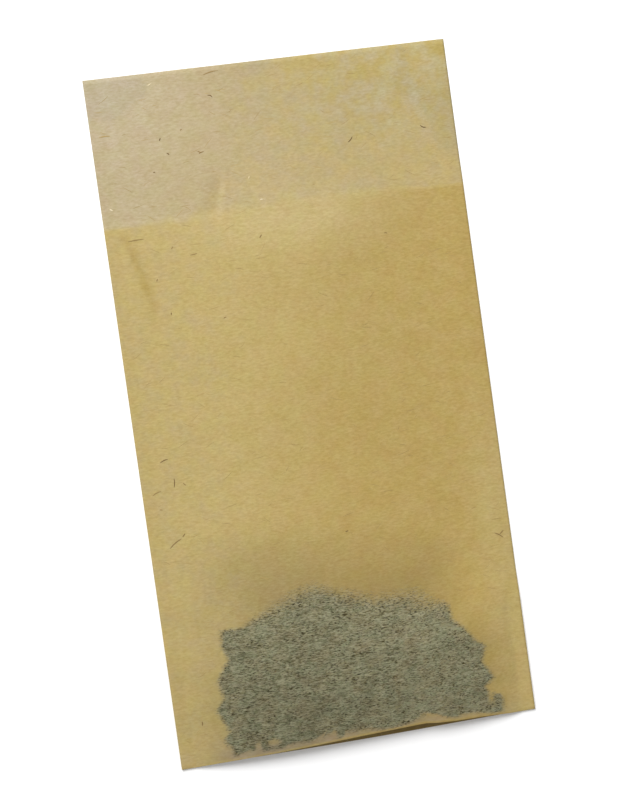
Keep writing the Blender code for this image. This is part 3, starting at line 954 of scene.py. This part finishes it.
wide_pores = add(tree, "ShaderNodeMapRange", Value=pores, _1=0.44, _2=0.32, _4=0.34).outputs[0]
wide_pores = add(tree, "ShaderNodeMath", TIMES, _0=wide_pores, _1=gathered).outputs[0]
at_pores = add(tree, "ShaderNodeMath", TIMES, _0=contact, _1=wide_pores).outputs[0]
at_edge = add(tree, "ShaderNodeMapRange", Value=contact, _2=0.3, _3=0.20, _4=0.12).outputs[0]
at_contact = add(tree, "ShaderNodeMapRange", Value=stands_off, _3=0.40, _4=0.0).outputs[0]
openness = add(tree, "ShaderNodeMath", PLUS, _0=at_edge, _1=at_contact).outputs[0]
openness = add(tree, "ShaderNodeMath", PLUS, _0=openness, _1=at_pores).outputs[0]
surface = add(tree, "ShaderNodeMixShader", _0=openness, _1=scatter.outputs[0], _2=clear.outputs[0])
add(tree, "ShaderNodeOutputMaterial", Surface=surface.outputs[0])
sheet.data.materials.append(paper)
print("filter paper:", len(tree.nodes), "nodes")

# %% [markdown]
# ### Dry tea
# Dried leaf is nearly black where it is rolled tight, grey-green where it is torn open, and ochre
# where a bit of stalk shows. The tone stored on each crumb picks its colour from the ramp, so that a
# crumb has one colour, as a real one has. A grain of half a millimetre wears it a little.

# %% Loose leaf: its colour
TEA_STOPS = (
    (0.0, "120f0a"), (1.0, "8d7440"), (0.35, "262417"), (0.6, "3d4030"), (0.8, "4c5240"), (0.92, "6a5a30"),
)
tea, tree = blank_material("dry_tea")
place = add(tree, "ShaderNodeTexCoord").outputs["Object"]
tone = add(tree, "ShaderNodeAttribute", {"attribute_name": "tone"}).outputs["Fac"]
colour = add(tree, "ShaderNodeValToRGB", stops=TEA_STOPS, Fac=tone).outputs[0]
grain = add(tree, "ShaderNodeTexNoise", Vector=place, Scale=PER_MM / 0.5, Detail=3.0).outputs[0]
worn = add(tree, "ShaderNodeMapRange", Value=grain, _1=0.65, _2=0.35, _4=0.7).outputs[0]
colour = add(tree, "ShaderNodeMix", TINT, _0=worn, _6=colour, _7=linear("8a8a7a")).outputs[2]
leaf_surface = add(tree, "ShaderNodeBsdfPrincipled", Base_Color=colour, Roughness=0.75)
add(tree, "ShaderNodeOutputMaterial", Surface=leaf_surface.outputs[0])
leaf.data.materials.append(tea)
print("dry tea:", len(tree.nodes), "nodes")

# %% [markdown]
# ### Tea dust
# What lies deeper is dust and small bits, darker than the leaf on top. Cells of 0.6 mm stand in for the
# bits, each with a tone of its own and a rounded face from the bump.

# %% Tea bed: its dust
dust, tree = blank_material("tea_dust")
place = add(tree, "ShaderNodeTexCoord").outputs["Object"]
cells = add(tree, "ShaderNodeTexVoronoi", Vector=place, Scale=PER_MM / 0.6)
cell_tone = add(tree, "ShaderNodeSeparateColor", Color=cells.outputs["Color"]).outputs[0]
colour = add(tree, "ShaderNodeMix", BLEND, _0=cell_tone, _6=linear("16130c"), _7=linear("3a3a28")).outputs[2]
distance = cells.outputs["Distance"]
relief = add(tree, "ShaderNodeBump", Strength=0.8, Distance=0.2 * MM, Height=distance).outputs[0]
dust_surface = add(tree, "ShaderNodeBsdfPrincipled", Base_Color=colour, Roughness=0.85, Normal=relief)
add(tree, "ShaderNodeOutputMaterial", Surface=dust_surface.outputs[0])
bed.data.materials.append(dust)
print("tea dust:", len(tree.nodes), "nodes")

# %% [markdown]
# ### Bark shives
# A shive is a splinter of bark, dull and brown. The thinner it is, the more of the paper's yellow it
# takes on, so the stored tone goes from dark to yellow. Past that come the knots of bleached fibre,
# which are paler than the paper round them.

# %% Shives, knots and hairs: their colour
bark, tree = blank_material("bark_shive")
tone = add(tree, "ShaderNodeAttribute", {"attribute_name": "tone"}).outputs["Fac"]
colour = add(tree, "ShaderNodeMix", BLEND, _0=tone, _6=linear("624b24"), _7=linear("ad935a")).outputs[2]
bleached = add(tree, "ShaderNodeMapRange", Value=tone, _1=1.0, _2=2.0).outputs[0]
colour = add(tree, "ShaderNodeMix", BLEND, _0=bleached, _6=colour, _7=linear("dacdab")).outputs[2]
bark_surface = add(tree, "ShaderNodeBsdfPrincipled", Base_Color=colour, Roughness=0.8)
add(tree, "ShaderNodeOutputMaterial", Surface=bark_surface.outputs[0])
for piece in (shives, hairs):
    piece.data.materials.append(bark)
print("bark:", len(tree.nodes), "nodes")

# %% [markdown]
# ## Floor, light and camera
# The floor is plain and white. A large soft light stands to the upper left, behind the bag, so that
# brightness falls towards the lower right and the foot shades the folds below it. A sun lamp would
# light the whole bag alike. The camera looks down from about a third of a metre, leaning a few degrees.

# %% Floor
clear_selection()
bpy.ops.mesh.primitive_plane_add(size=3)
floor = newly_added("floor")
white, tree = blank_material("white_board")
board = add(tree, "ShaderNodeBsdfPrincipled", Base_Color=linear("f8f8f8"), Roughness=0.9)
add(tree, "ShaderNodeOutputMaterial", Surface=board.outputs[0])
floor.data.materials.append(white)
print("floor", round(floor.dimensions.x, 2), "m wide")

# %% Light
world = bpy.data.worlds.new("soft_room")
bpy.context.scene.world = world
world.use_nodes = True
room_light = world.node_tree.nodes["Background"]
room_light.inputs["Color"].default_value = linear("ffffff")
room_light.inputs["Strength"].default_value = 0.5

key_data = bpy.data.lights.new("window", "AREA")
key_data.shape, key_data.size = "DISK", 0.7
key_data.energy = 13
key_light = bpy.data.objects.new("window", key_data)
bpy.context.scene.collection.objects.link(key_light)
key_light.location = (-0.30, 0.68, 0.72)
key_light.rotation_mode = "QUATERNION"
key_light.rotation_quaternion = (-Vector(key_light.location)).to_track_quat("-Z", "Y")
print("window at", [round(v, 2) for v in key_light.location])

# %% Camera
camera_data = bpy.data.cameras.new("camera")
camera_data.lens = 70.15
camera_data.sensor_width = 36
camera = bpy.data.objects.new("camera", camera_data)
bpy.context.scene.collection.objects.link(camera)
camera.location = CAMERA_PLACE
camera.rotation_euler = [math.radians(a) for a in (-0.93, -7.39, -8.07)]
camera_data.clip_start, camera_data.clip_end = 0.01, 10
bpy.context.scene.camera = camera
bpy.context.scene.view_settings.view_transform = "Standard"
print("camera at", [round(v, 3) for v in camera.location])
